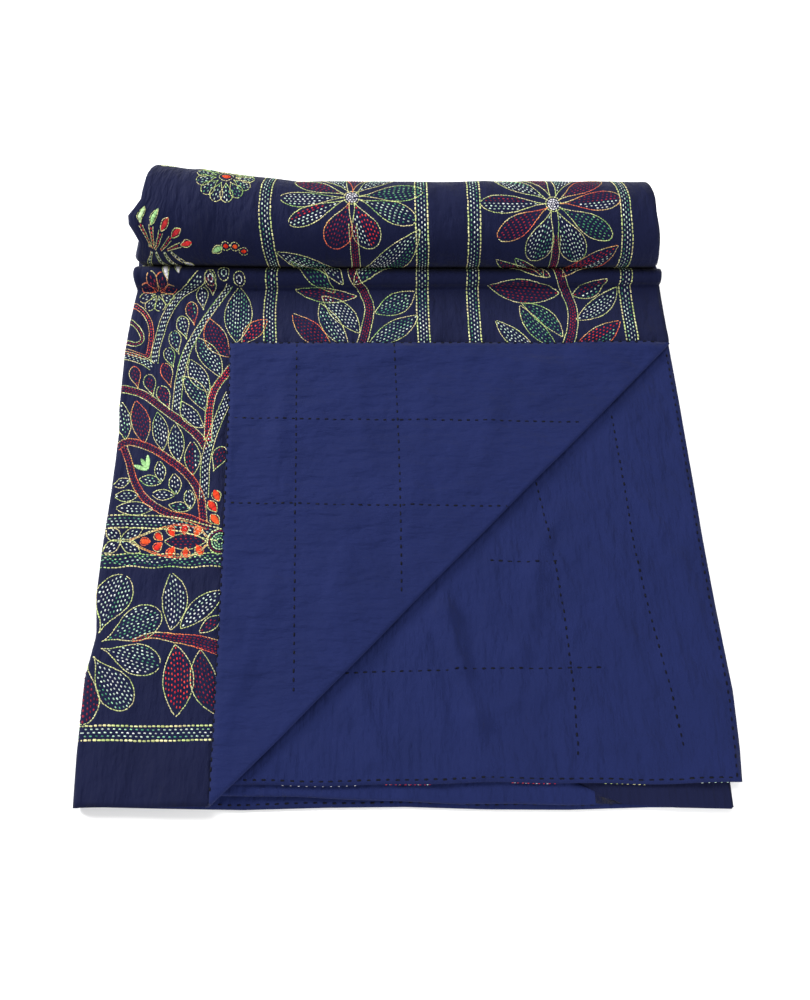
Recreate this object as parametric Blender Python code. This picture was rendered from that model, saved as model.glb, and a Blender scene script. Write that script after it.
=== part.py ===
"""A kantha quilt: two cotton cloths, folded in four, the far end rolled under, one corner turned back.

X runs across the folded pile, Y from its near hem to the roll, Z is up. Metres and degrees.
"""

import math
from collections import namedtuple

import bmesh
import bpy

# Driving dimensions
FOLDED_WIDTH = 0.573
LAID_LENGTH = 0.518
TURNED_CORNER = 0.457
ROLL_RADIUS = 0.046
ROLL_TURNS = 2.9
CLOTH = 0.001
STITCH_GAP = 0.0003
PLY_GAP = 0.0004

# The quilt's own thickness, the step from ply to ply, and the thickness of the pile of four
QUILT = 2 * CLOTH + STITCH_GAP
PITCH = QUILT + PLY_GAP
PILE = 3 * PITCH + QUILT

# How the pile bends in front of the roll: radii are those of its underside, angles those it climbs or falls
HUMP_TURN_LEFT = 55.0
HUMP_TURN_RIGHT = 38.0
HUMP_RADIUS = 0.003
VALLEY_RADIUS = PILE + 0.0015
WINDING_STEP = PILE + PLY_GAP
CORE_STEP_DEG = 30.0

# The turned-back corner's fold, and what is uneven: the pile leans, and its left end is rolled thicker
CORNER_RADIUS = 0.0016
LEAN = -0.0265
THICK_LEFT_END = 0.22
SWELL_START = 0.47

# The width is folded here: a run, then a turn about a radius. A positive turn keeps the face outside.
Fold = namedtuple("Fold", "turn radius")
OUTER_LEFT = Fold(180.0, 1.5 * PITCH)
RIGHT = Fold(180.0, 0.5 * PITCH)
INNER_LEFT = Fold(-180.0, 0.5 * PITCH)
FOLDS = (OUTER_LEFT, RIGHT, INNER_LEFT)

# How far each edge of the pile stands in from a straight line, by distance from the near hem
Edge = namedtuple("Edge", "along left right")
EDGES = (
    Edge(0.000, 0.0000, 0.000),
    Edge(0.047, -0.0010, 0.000),
    Edge(0.112, 0.0000, 0.000),
    Edge(0.176, 0.0050, 0.000),
    Edge(0.293, 0.0090, 0.000),
    Edge(0.357, 0.0115, 0.000),
    Edge(0.423, 0.0102, 0.000),
    Edge(0.446, 0.0125, 0.001),
    Edge(0.482, 0.0140, 0.002),
    Edge(0.518, 0.0180, 0.003),
)
# The same on the bends and the roll, by how far round the roll it lies
Wrap = namedtuple("Wrap", "round left right")
WRAPS = (
    Wrap(-90.0, 0.0180, 0.003),
    Wrap(-34.0, 0.0225, 0.0075),
    Wrap(10.0, 0.0260, 0.010),
    Wrap(48.0, 0.0280, 0.0145),
    Wrap(108.0, 0.0400, 0.0195),
    Wrap(160.0, 0.0440, 0.024),
    Wrap(1200.0, 0.0440, 0.024),
)
# How far the right edge of the ply under the top one hangs out over the rest, by distance from the near hem
Overhang = namedtuple("Overhang", "along out")
OVERHANGS = (
    Overhang(0.000, 0.007),
    Overhang(0.050, 0.011),
    Overhang(0.100, 0.0125),
    Overhang(0.176, 0.008),
    Overhang(0.300, 0.004),
    Overhang(0.450, 0.000),
)
# How far each ply's near hem lies behind the bottom ply's: at the start and the end of each run of the width
Hem = namedtuple("Hem", "start end")
HEMS = (Hem(0.0, 0.0), Hem(0.0, 0.0), Hem(0.0, 0.014), Hem(0.018, 0.0215))

# Rows of points along the laid part, from the near hem, and the steps of the bends, the folds and the runs
LAID_ROWS = (0.0, 0.050, 0.111, 0.176, 0.285, 0.357, 0.395, 0.450, 0.476)
CLIMB_STEPS = 3
HUMP_STEPS = 4
VALLEY_STEPS = 8
FOLD_STEPS = 4
RUN_STEPS = 3

# In the flat grid, a coordinate from this number on counts columns or rows, and a smaller one is metres
COUNTED = 1.0

FACE_COLOUR = (0.015, 0.017, 0.070, 1.0)
BACKING_COLOUR = (0.022, 0.030, 0.140, 1.0)

LEFT_CENTRE = -FOLDED_WIDTH / 2 + OUTER_LEFT.radius + QUILT / 2
RIGHT_CENTRE = FOLDED_WIDTH / 2 - RIGHT.radius - QUILT / 2
RUN = RIGHT_CENTRE - LEFT_CENTRE
OPEN_RUN = FOLDED_WIDTH / 2 - LEFT_CENTRE
FIRST_STATION = LEFT_CENTRE + RUN / RUN_STEPS
LAST_STATION = RIGHT_CENTRE - RUN / RUN_STEPS


def between(value, rows, column):
    """Reads a column of a table at a value of its first column, in straight lines between the rows."""
    for low, high in zip(rows, rows[1:]):
        if value <= high[0]:
            share = max(0.0, (value - low[0]) / (high[0] - low[0]))
            return low[column] + share * (high[column] - low[column])
    return rows[-1][column]


def roll_radius(winding):
    """The underside's distance from the roll's centre after winding this many degrees."""
    return ROLL_RADIUS - PILE - WINDING_STEP * winding / 360


def roll_start():
    """Where the valley meets the roll: the roll's height and the angle below the horizontal at its front."""
    start = 35.0
    for _ in range(20):
        height = ROLL_RADIUS - WINDING_STEP * (270 + start) / 360
        start = math.degrees(math.asin((height - VALLEY_RADIUS) / (roll_radius(0) + VALLEY_RADIUS)))
    return height, start


ROLL_HEIGHT, ROLL_START = roll_start()
REACH = (roll_radius(0) + VALLEY_RADIUS) * math.cos(math.radians(ROLL_START))
HUMP_REACH = 2 * (VALLEY_RADIUS + HUMP_RADIUS) * math.sin(math.radians(HUMP_TURN_LEFT))
VALLEY_Y = LAID_LENGTH + HUMP_REACH
ROLL_Y = VALLEY_Y + REACH
SWELL_FULL = ROLL_Y - ROLL_RADIUS


def arc(start, turn, radius, steps):
    """Points on a bend of the underside, a positive turn upward: y, z and the climb in degrees."""
    y, z, climb = start
    side = math.copysign(1.0, turn)
    centre_y = y - side * radius * math.sin(math.radians(climb))
    centre_z = z + side * radius * math.cos(math.radians(climb))
    points = []
    for step in range(1, steps + 1):
        now = climb + turn * step / steps
        sine, cosine = math.sin(math.radians(now)), math.cos(math.radians(now))
        points.append((centre_y + side * radius * sine, centre_z - side * radius * cosine, now))
    return points


def underside(share):
    """The underside from the last laid row on, at this share of the width: y, z, climb, degrees round."""
    turn = HUMP_TURN_LEFT + share * (HUMP_TURN_RIGHT - HUMP_TURN_LEFT)
    crease = VALLEY_Y - 2 * (VALLEY_RADIUS + HUMP_RADIUS) * math.sin(math.radians(turn))
    points = [(crease, 0.0, 0.0)]
    points += arc(points[-1], turn, VALLEY_RADIUS, CLIMB_STEPS)
    points += arc(points[-1], -2 * turn, HUMP_RADIUS, HUMP_STEPS)
    points += arc(points[-1], turn + 90 + ROLL_START, VALLEY_RADIUS, VALLEY_STEPS)
    points = [(y, z, climb, min(-ROLL_START, climb - 90 - 2 * ROLL_START)) for y, z, climb in points]
    for step in range(1, round(ROLL_TURNS * 360 / CORE_STEP_DEG) + 1):
        winding = step * CORE_STEP_DEG
        angle = winding - ROLL_START
        sine, cosine = math.sin(math.radians(angle)), math.cos(math.radians(angle))
        radius = roll_radius(winding)
        points.append((ROLL_Y - radius * cosine, ROLL_HEIGHT + radius * sine, 90 - angle, angle))
    return points


def width_stations():
    """The places along the quilt's width that get points: the run or fold, x, and the fold's share."""
    stations = []
    for run, length in enumerate((OPEN_RUN, RUN, RUN, OPEN_RUN)):
        inner = [LEFT_CENTRE + RUN * step / RUN_STEPS for step in range(RUN_STEPS)]
        xs = inner + [LEFT_CENTRE + length]
        xs = xs if run % 2 else xs[::-1]
        stations += [(run, x, None) for x in xs]
        if run < len(FOLDS):
            stations += [(run, None, step / FOLD_STEPS) for step in range(1, FOLD_STEPS)]
    return stations


LEVELS = tuple(QUILT / 2 + PITCH * ply for ply in (3, 0, 1, 2))


def across(station, offset):
    """A width station's x and its height in the pile, for a layer at this offset towards the face."""
    run, x, share = station
    heading = 0.0 if run % 2 else 180.0
    if x is None:
        fold = FOLDS[run]
        side = math.copysign(1.0, fold.turn)
        x = RIGHT_CENTRE if run % 2 else LEFT_CENTRE
        centre = (LEVELS[run] + LEVELS[run + 1]) / 2
        now = math.radians(heading + fold.turn * share)
        radius = fold.radius + side * offset
        return x + side * radius * math.sin(now), centre - side * radius * math.cos(now)
    return x, LEVELS[run] + offset * (1 if heading else -1)


def hem_behind(station):
    """How far behind the bottom ply's near hem this part of the width has its own."""
    run, x, share = station
    if x is None:
        return HEMS[run].end + share * (HEMS[run + 1].start - HEMS[run].end)
    passed = (x - LEFT_CENTRE) / RUN
    passed = passed if run % 2 else 1 - passed
    return HEMS[run].start + max(0.0, passed) * (HEMS[run].end - HEMS[run].start)


def settle(x, y, z, left, right):
    """Moves a point with the pile's unevenness: its edges, the thicker left end of the roll, and its lean."""
    at_left = max(0.0, (FIRST_STATION - x) / (FIRST_STATION + FOLDED_WIDTH / 2))
    at_right = max(0.0, (x - LAST_STATION) / (FOLDED_WIDTH / 2 - LAST_STATION))
    x += left * at_left - right * at_right
    swell = THICK_LEFT_END * max(0.0, (FIRST_STATION - x) / (FIRST_STATION + FOLDED_WIDTH / 2))
    z *= 1 + swell * min(1.0, max(0.0, (y - SWELL_START) / (SWELL_FULL - SWELL_START)))
    y += swell * max(0.0, y - SWELL_FULL)
    return x + LEAN * y, y, z


def corner_turned(x, y, height, offset):
    """Turns back a point of the top ply that lies beyond the corner's slanting fold line."""
    beyond = (TURNED_CORNER - (FOLDED_WIDTH / 2 - x) - y) / math.sqrt(2)
    if beyond <= 0:
        return x, y, height + offset
    round_fold = math.pi * CORNER_RADIUS
    if beyond < round_fold:
        turn = beyond / CORNER_RADIUS
        reach = (CORNER_RADIUS - offset) * math.sin(turn)
        lift = CORNER_RADIUS - (CORNER_RADIUS - offset) * math.cos(turn)
    else:
        reach = round_fold - beyond
        lift = 2 * CORNER_RADIUS - offset
    step = (beyond - reach) / math.sqrt(2)
    return x - step, y + step, height + lift


def laid_point(station, y, offset):
    """A point of the laid part: the top ply's corner is turned back, and the ply under it overhangs."""
    run, x, _ = station
    if run == 0 and x is not None:
        x, y, z = corner_turned(x, y, LEVELS[0], offset)
    else:
        at_overhang = run == 3 and x == LEFT_CENTRE + OPEN_RUN
        y = y + hem_behind(station) * (1 - y / LAID_LENGTH)
        x, z = across(station, offset)
        x += between(y, OVERHANGS, 1) if at_overhang else 0.0
    return settle(x, y, z, between(y, EDGES, 1), between(y, EDGES, 2))


def bent_point(station, row, offset):
    """A point on the hump, in the valley or on the roll."""
    x, height = across(station, offset)
    share = min(1.0, max(0.0, (x - LEFT_CENTRE) / RUN))
    y, z, climb, angle = underside(share)[row]
    y -= height * math.sin(math.radians(climb))
    z += height * math.cos(math.radians(climb))
    return settle(x, y, z, between(angle, WRAPS, 1), between(angle, WRAPS, 2))


def flat_grid():
    """The quilt as it was cut, as one grid: each point's layers record its width station and its row."""
    stations = width_stations()
    rows = len(LAID_ROWS) + len(underside(0.0))
    mesh = bmesh.new()
    grid = []
    for column, station in enumerate(stations):
        run, x, _ = station
        beside = FOLDED_WIDTH / 2 - x if run == 0 and x is not None else COUNTED + column
        line = [LAID_ROWS[row] if row < len(LAID_ROWS) else COUNTED + row for row in range(rows)]
        grid.append([mesh.verts.new((beside, along, 0.0)) for along in line])
    for column in range(len(stations) - 1):
        for row in range(rows - 1):
            near, far = grid[column], grid[column + 1]
            mesh.faces.new((near[row], near[row + 1], far[row + 1], far[row]))
    return mesh, stations


def cut_corner(mesh):
    """Cuts the grid along the lines where the corner bends over."""
    for step in range(FOLD_STEPS + 1):
        back = math.pi * CORNER_RADIUS * step / FOLD_STEPS
        place = (TURNED_CORNER - back * math.sqrt(2), 0.0, 0.0)
        parts = mesh.verts[:] + mesh.edges[:] + mesh.faces[:]
        bmesh.ops.bisect_plane(mesh, geom=parts, dist=1e-6, plane_co=place, plane_no=(1.0, 1.0, 0.0))


def place_point(vertex, stations, offset):
    """Carries a point of the flat grid to where it lies in the folded and rolled pile."""
    beside, along, _ = vertex.co
    if beside < COUNTED:
        station = (0, FOLDED_WIDTH / 2 - beside, None)
    else:
        station = stations[round(beside - COUNTED)]
    if along < COUNTED:
        return laid_point(station, along, offset)
    return bent_point(station, round(along - COUNTED) - len(LAID_ROWS), offset)


def cloth(name, inner, colour):
    """One cloth of the two, as a closed sheet whose inner side has this offset towards the face."""
    mesh, stations = flat_grid()
    cut_corner(mesh)
    bmesh.ops.triangulate(mesh, faces=mesh.faces[:])
    for vertex in mesh.verts:
        vertex.co.z = inner
    raised = bmesh.ops.extrude_face_region(mesh, geom=mesh.faces[:], use_keep_orig=True)
    for vertex in (part for part in raised["geom"] if isinstance(part, bmesh.types.BMVert)):
        vertex.co.z = inner + CLOTH
    bmesh.ops.recalc_face_normals(mesh, faces=mesh.faces[:])
    for vertex in mesh.verts:
        vertex.co = place_point(vertex, stations, vertex.co.z)
    # The width is numbered from the right, so carrying the sheet over turned it inside out
    bmesh.ops.reverse_faces(mesh, faces=mesh.faces[:])
    return finish(name, mesh, colour)


def finish(name, mesh, colour):
    """Makes the named object, with its material."""
    data = bpy.data.meshes.new(name)
    mesh.to_mesh(data)
    mesh.free()
    material = bpy.data.materials.new(name)
    material.use_nodes = True
    shader = material.node_tree.nodes["Principled BSDF"]
    shader.inputs["Base Color"].default_value = colour
    shader.inputs["Roughness"].default_value = 0.85
    shader.inputs["Metallic"].default_value = 0.0
    data.materials.append(material)
    piece = bpy.data.objects.new(name, data)
    bpy.context.scene.collection.objects.link(piece)
    return piece


def centre_on_floor(pieces):
    """Moves the pieces together: the middle of their box over the origin, their foot on the floor."""
    points = [vertex.co for piece in pieces for vertex in piece.data.vertices]
    low = [min(point[axis] for point in points) for axis in range(3)]
    high = [max(point[axis] for point in points) for axis in range(3)]
    middle = ((low[0] + high[0]) / 2, (low[1] + high[1]) / 2, low[2])
    for point in points:
        for axis in range(3):
            point[axis] -= middle[axis]


for old in list(bpy.data.objects):
    bpy.data.objects.remove(old, do_unlink=True)

face = cloth("embroidered_face", STITCH_GAP / 2, FACE_COLOUR)
backing = cloth("plain_backing", -STITCH_GAP / 2 - CLOTH, BACKING_COLOUR)
centre_on_floor((face, backing))
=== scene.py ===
import math

import bmesh
import bpy
import numpy as np
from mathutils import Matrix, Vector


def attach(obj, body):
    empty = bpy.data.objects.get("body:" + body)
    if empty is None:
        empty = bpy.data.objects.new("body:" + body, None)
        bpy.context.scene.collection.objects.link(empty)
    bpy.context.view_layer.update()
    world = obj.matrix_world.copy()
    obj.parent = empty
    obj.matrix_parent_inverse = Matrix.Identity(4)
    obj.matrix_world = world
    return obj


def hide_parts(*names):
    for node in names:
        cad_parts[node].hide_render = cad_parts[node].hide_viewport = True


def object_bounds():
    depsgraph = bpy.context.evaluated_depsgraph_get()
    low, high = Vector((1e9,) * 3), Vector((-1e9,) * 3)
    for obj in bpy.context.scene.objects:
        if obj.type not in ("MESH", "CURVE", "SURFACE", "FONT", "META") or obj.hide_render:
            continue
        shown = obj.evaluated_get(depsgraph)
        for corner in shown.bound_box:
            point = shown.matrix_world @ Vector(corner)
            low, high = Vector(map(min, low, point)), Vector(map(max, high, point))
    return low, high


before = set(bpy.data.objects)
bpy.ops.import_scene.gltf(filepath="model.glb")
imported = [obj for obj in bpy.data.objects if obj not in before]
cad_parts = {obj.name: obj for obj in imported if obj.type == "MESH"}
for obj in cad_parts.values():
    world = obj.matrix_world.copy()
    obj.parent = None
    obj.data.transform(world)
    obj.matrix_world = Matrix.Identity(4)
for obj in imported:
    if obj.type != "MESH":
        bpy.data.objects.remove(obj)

cad_low, cad_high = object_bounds()

# The studio: a pale floor under the quilt, a large soft light above and behind, a weaker one at each side,
# and the camera where the photograph was taken from. It looks steeply down on the near hem, with no turn to
# either side.
CAMERA_HEIGHT = 0.842
CAMERA_BEFORE_HEM = 0.022
CAMERA_LOOKS_DOWN_DEG = 69.9
LENS_MM = 33.0
near_hem = cad_low.y
face_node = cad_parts["embroidered_face"]
hem_x = [v.co.x for v in face_node.data.vertices if v.co.y < near_hem + 0.0005]
pile_x = (min(hem_x) + max(hem_x)) / 2

bpy.ops.object.camera_add(location=(pile_x + 0.001, near_hem - CAMERA_BEFORE_HEM, CAMERA_HEIGHT))
camera = bpy.context.object
camera.rotation_euler = (math.radians(90 - CAMERA_LOOKS_DOWN_DEG), 0, 0)
camera.data.lens = LENS_MM
camera.data.sensor_width = 36.0
bpy.context.scene.camera = camera

bpy.ops.object.select_all(action="DESELECT")
bpy.ops.mesh.primitive_plane_add(size=12, location=(0, 0, -0.0004))
floor = bpy.context.object
floor.name = "studio_floor"
floor_paint = bpy.data.materials.new("studio_floor")
floor_paint.use_nodes = True
floor_shader = floor_paint.node_tree.nodes["Principled BSDF"]
floor_shader.inputs["Base Color"].default_value = (0.93, 0.93, 0.93, 1)
floor_shader.inputs["Roughness"].default_value = 0.6
floor.data.materials.append(floor_paint)

for name, place, aim, size, power in (
    ("top_light", (0.2, 1.15, 1.5), (0, 0.05, 0), 1.0, 24),
    ("left_light", (-1.75, 0.75, 0.95), (0, 0, 0), 0.7, 66),
    ("front_light", (0.7, -1.4, 0.9), (0, 0.1, 0), 1.2, 30),
):
    bpy.ops.object.light_add(type="AREA", location=place)
    lamp = bpy.context.object
    lamp.name = name
    lamp.data.size = size
    lamp.data.energy = power
    gaze = np.array(aim) - np.array(place)
    tilt = math.acos(-gaze[2] / np.linalg.norm(gaze))
    lamp.rotation_euler = (tilt, 0, math.atan2(gaze[1], gaze[0]) - math.pi / 2)
sky = bpy.data.worlds.new("studio")
sky.use_nodes = True
sky.node_tree.nodes["Background"].inputs["Color"].default_value = (1, 1, 1, 1)
sky.node_tree.nodes["Background"].inputs["Strength"].default_value = 0.42
bpy.context.scene.world = sky
bpy.context.scene.view_settings.view_transform = "Standard"

# The two cotton cloths, navy and royal blue, lie back to back and are stitched together, so one set of rows
# and columns serves both: folded in four across the width, rolled under at the far end, one corner of the
# top ply turned back. The sizes are those of the solids that the two cloths stand on.
WIDTH = max(hem_x) - min(hem_x)
LAID = 0.518
CORNER = 0.457
ROLL_RADIUS = 0.046
ROLL_TURNS = 2.9
QUILT = 0.0023
PITCH = 0.0027
PILE = 3 * PITCH + QUILT
CLOTH = 0.00105
SEAM = 0.00005
HUMP_TURN_LEFT, HUMP_TURN_RIGHT = 55.0, 38.0
HUMP_RADIUS = 0.003
VALLEY_RADIUS = PILE + 0.0015
WINDING_STEP = PILE + 0.0004
CORNER_RADIUS = 0.0016
LEAN = -0.0265
THICK_LEFT_END = 0.22
SWELL_START = 0.47
HUMP_LEAN, HUMP_RISE = -0.002, 0.010
CREASE_STEPS, CREST_STEPS, VALLEY_STEPS, CREST_END = 8, 12, 16, 28
OUTER_WINDING, OUTER_STEP, INNER_STEP = 380, 10, 40
OVERHANG_ALONG = (0.0, 0.020, 0.050, 0.100, 0.176, 0.250, 0.300, 0.360, 0.450)
OVERHANG = (0.007, 0.009, 0.0112, 0.0125, 0.008, 0.005, 0.004, 0.002, 0.0)
HEM_START = (0.0, 0.0, 0.0, 0.018)
HEM_END = (0.0, 0.0, 0.014, 0.0215)
TURN = (180.0, 180.0, -180.0)
TURN_RADIUS = (1.5 * PITCH, 0.5 * PITCH, 0.5 * PITCH)
LEVEL = tuple(QUILT / 2 + PITCH * ply for ply in (3, 0, 1, 2))
LEFT_CENTRE = -WIDTH / 2 + TURN_RADIUS[0] + QUILT / 2
RIGHT_CENTRE = WIDTH / 2 - TURN_RADIUS[1] - QUILT / 2
RUN = RIGHT_CENTRE - LEFT_CENTRE
OPEN_RUN = WIDTH / 2 - LEFT_CENTRE
FIRST_STATION = LEFT_CENTRE + RUN / 3
LAST_STATION = RIGHT_CENTRE - RUN / 3
RUN_STEPS = (104, 8, 12, 90)
FOLD_STEPS = 8

# The pile narrows a little along its length and round the roll. Each row: metres up from the hem or degrees
# round the roll, how far the left third and the left rim are drawn in, and the same for the right.
RIM = 0.060
LAID_NARROWING = np.array((
    (0.0, 0.0, 0.0, 0.0, 0.0), (0.047, 0.001, -0.002, 0.0, 0.0),
    (0.112, 0.002, -0.002, 0.0, 0.0), (0.151, 0.003, 0.004, 0.0, 0.0),
    (0.19, 0.0036, 0.0, 0.0, 0.0), (0.231, 0.004, 0.001, 0.0, 0.0),
    (0.293, 0.004, 0.005, 0.0, 0.0), (0.357, 0.0045, 0.007, 0.0, 0.0),
    (0.379, 0.0045, 0.005, 0.0, 0.0), (0.423, 0.002, 0.008, 0.0005, 0.0),
    (0.446, 0.0, 0.0102, 0.001, 0.0), (0.482, 0.008, 0.005, 0.002, 0.0),
    (0.518, 0.014, 0.004, 0.003, 0.0),
)).T
ROLL_NARROWING = np.array((
    (-90.0, 0.014, 0.004, 0.003, 0.0), (-34.0, 0.018, 0.0045, 0.009, -0.0015),
    (-12.0, 0.0155, 0.006, 0.008, 0.0), (8.0, 0.013, 0.015, 0.007, 0.003),
    (20.0, 0.015, 0.017, 0.0075, 0.004), (33.0, 0.0175, 0.009, 0.008, 0.0045),
    (44.0, 0.0195, 0.003, 0.009, 0.005), (54.0, 0.021, 0.008, 0.0095, 0.006),
    (65.0, 0.0235, 0.015, 0.01, 0.0075), (90.0, 0.028, 0.014, 0.011, 0.007),
    (108.0, 0.0315, 0.012, 0.013, 0.0065), (128.0, 0.036, 0.01, 0.015, 0.006),
    (160.0, 0.042, 0.008, 0.018, 0.006), (1200.0, 0.042, 0.008, 0.018, 0.006),
)).T

# The margin of the ply below the top ones is turned back over itself, so that a slim blue strip shows at
# the near edge, and what lies on it is lifted a little.
MARGIN = 0.027
MARGIN_RADIUS = PITCH / 2
MARGIN_FROM, MARGIN_FULL, MARGIN_FULL_TO, MARGIN_TO = -0.235, -0.195, 0.150, 0.172
MARGIN_STEP, MARGIN_STEP_FROM, MARGIN_STEP_TO = 0.10, 0.043, 0.047
MARGIN_FADE = 0.034
fold_rows = MARGIN - np.linspace(0, math.pi * MARGIN_RADIUS, 5)
LAID_ROWS = np.unique(np.round(np.concatenate([np.linspace(0, 0.510, 94), fold_rows]), 6))


def roll_radius(winding):
    return ROLL_RADIUS - PILE - WINDING_STEP * winding / 360


ROLL_START = 35.0
for _ in range(20):
    ROLL_HEIGHT = ROLL_RADIUS - WINDING_STEP * (270 + ROLL_START) / 360
    ROLL_START = math.degrees(math.asin((ROLL_HEIGHT - VALLEY_RADIUS) / (roll_radius(0) + VALLEY_RADIUS)))
VALLEY_Y = LAID + 2 * (VALLEY_RADIUS + HUMP_RADIUS) * math.sin(math.radians(HUMP_TURN_LEFT))
ROLL_Y = VALLEY_Y + (roll_radius(0) + VALLEY_RADIUS) * math.cos(math.radians(ROLL_START))
SWELL_FULL = ROLL_Y - ROLL_RADIUS


def arc(start, turn, radius, steps):
    y, z, climb = start
    side = math.copysign(1.0, turn)
    centre_y = y - side * radius * math.sin(math.radians(climb))
    centre_z = z + side * radius * math.cos(math.radians(climb))
    angles = [climb + turn * step / steps for step in range(1, steps + 1)]
    return [(centre_y + side * radius * math.sin(math.radians(a)),
             centre_z - side * radius * math.cos(math.radians(a)), a) for a in angles]


def underside(share):
    """The pile's underside from the crease before the hump to the roll's core: y, z, climb, degrees round."""
    turn = HUMP_TURN_LEFT + share * (HUMP_TURN_RIGHT - HUMP_TURN_LEFT)
    crease = VALLEY_Y - 2 * (VALLEY_RADIUS + HUMP_RADIUS) * math.sin(math.radians(turn))
    line = [(crease, 0.0, 0.0)]
    line += arc(line[-1], turn, VALLEY_RADIUS, CREASE_STEPS)
    line += arc(line[-1], -2 * turn, HUMP_RADIUS, CREST_STEPS)
    line += arc(line[-1], turn + 90 + ROLL_START, VALLEY_RADIUS, VALLEY_STEPS)
    crest = [math.sin(math.pi * min(1, step / CREST_END)) ** 2 for step in range(len(line))]
    line = [(y + HUMP_LEAN * top, z + HUMP_RISE * top, climb, min(-ROLL_START, climb - 90 - 2 * ROLL_START))
            for (y, z, climb), top in zip(line, crest)]
    windings = list(np.arange(OUTER_STEP, OUTER_WINDING, OUTER_STEP))
    windings += list(np.arange(OUTER_WINDING, ROLL_TURNS * 360 + 1, INNER_STEP))
    for winding in windings:
        angle = winding - ROLL_START
        radius = roll_radius(winding)
        line.append((ROLL_Y - radius * math.cos(math.radians(angle)),
                     ROLL_HEIGHT + radius * math.sin(math.radians(angle)), 90 - angle, angle))
    return np.array(line)


def smooth_step(value, start, stop):
    share = np.clip((value - start) / (stop - start), 0, 1)
    return share * share * (3 - 2 * share)


# Soft creases, each a line given from one end to the other, with its half width and its height: those
# of the whole pile, of the turned corner and of the ply that the corner leaves bare, all in metres over the
# pile's plan.
PILE_CREASES = (
    (-0.270, 0.030, -0.190, 0.036, 0.010, 0.0007), (-0.280, 0.215, -0.190, 0.205, 0.012, -0.0007),
    (-0.240, 0.300, -0.200, 0.420, 0.011, 0.0006), (-0.285, 0.330, -0.250, 0.260, 0.010, -0.0006),
    (-0.100, 0.470, 0.000, 0.486, 0.010, 0.0009), (0.060, 0.488, 0.150, 0.472, 0.010, 0.0008),
    (0.210, 0.480, 0.286, 0.462, 0.009, 0.0010), (0.100, 0.250, 0.240, 0.120, 0.030, -0.0008),
    (-0.120, 0.350, -0.050, 0.120, 0.034, 0.0009), (0.050, 0.400, 0.120, 0.300, 0.026, 0.0008),
)
CORNER_CREASES = (
    (-0.165, 0.360, -0.172, 0.290, 0.0063, 0.0021), (-0.148, 0.443, -0.103, 0.433, 0.0075, 0.0021),
    (-0.103, 0.433, 0.014, 0.441, 0.0088, 0.0023), (0.014, 0.441, 0.079, 0.436, 0.0075, 0.0018),
    (0.079, 0.440, 0.150, 0.425, 0.0075, 0.0025), (0.150, 0.425, 0.232, 0.432, 0.0088, 0.0027),
    (0.195, 0.446, 0.262, 0.452, 0.0100, 0.0036), (0.007, 0.292, 0.051, 0.289, 0.0050, 0.0016),
    (0.051, 0.289, 0.110, 0.308, 0.0050, 0.0018), (0.110, 0.308, 0.142, 0.321, 0.0063, 0.0015),
    (-0.130, 0.302, -0.093, 0.269, 0.0100, 0.0019), (-0.093, 0.269, -0.054, 0.261, 0.0100, 0.0018),
    (-0.150, 0.090, -0.118, 0.200, 0.0088, 0.0021), (-0.060, 0.160, -0.040, 0.280, 0.0100, 0.0019),
    (0.010, 0.235, 0.030, 0.390, 0.0088, 0.0016), (0.085, 0.320, 0.105, 0.410, 0.0088, 0.0019),
    (-0.160, 0.030, -0.150, 0.150, 0.0063, 0.0015), (0.135, 0.385, 0.190, 0.412, 0.0075, 0.0023),
    (-0.115, 0.330, -0.112, 0.410, 0.0075, 0.0015), (-0.030, 0.320, -0.036, 0.420, 0.0075, 0.0016),
)
BARE_CREASES = (
    (0.034, 0.215, 0.042, 0.172, 0.0078, 0.0046), (0.042, 0.172, 0.054, 0.122, 0.0078, 0.0049),
    (0.054, 0.122, 0.066, 0.074, 0.0065, 0.0046), (0.066, 0.074, 0.069, 0.030, 0.0065, 0.0038),
    (0.056, 0.190, 0.066, 0.125, 0.0078, -0.0027), (0.020, 0.150, 0.036, 0.060, 0.0091, 0.0030),
    (0.158, 0.277, 0.137, 0.241, 0.0065, 0.0032), (0.137, 0.241, 0.127, 0.209, 0.0059, 0.0034),
    (0.127, 0.209, 0.121, 0.172, 0.0059, 0.0034), (0.121, 0.172, 0.110, 0.137, 0.0059, 0.0032),
    (0.110, 0.137, 0.102, 0.105, 0.0065, 0.0027), (0.004, 0.183, 0.004, 0.083, 0.0065, 0.0025),
    (0.068, 0.076, 0.097, 0.088, 0.0065, 0.0027), (0.097, 0.088, 0.132, 0.101, 0.0078, 0.0025),
    (0.187, 0.184, 0.206, 0.146, 0.0078, 0.0029), (0.206, 0.146, 0.215, 0.101, 0.0078, 0.0027),
    (0.245, 0.122, 0.268, 0.092, 0.0078, 0.0025), (0.142, 0.172, 0.183, 0.146, 0.0078, 0.0027),
    (0.236, 0.283, 0.259, 0.222, 0.0078, 0.0027), (0.259, 0.222, 0.268, 0.165, 0.0078, 0.0025),
    (0.205, 0.240, 0.236, 0.196, 0.0078, 0.0025), (0.170, 0.236, 0.205, 0.206, 0.0078, 0.0023),
    (0.139, 0.053, 0.210, 0.061, 0.0091, 0.0025), (0.030, 0.028, 0.105, 0.036, 0.0091, 0.0023),
    (-0.040, 0.100, -0.018, 0.040, 0.0078, 0.0025), (0.215, 0.050, 0.262, 0.020, 0.0091, 0.0023),
)
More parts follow.
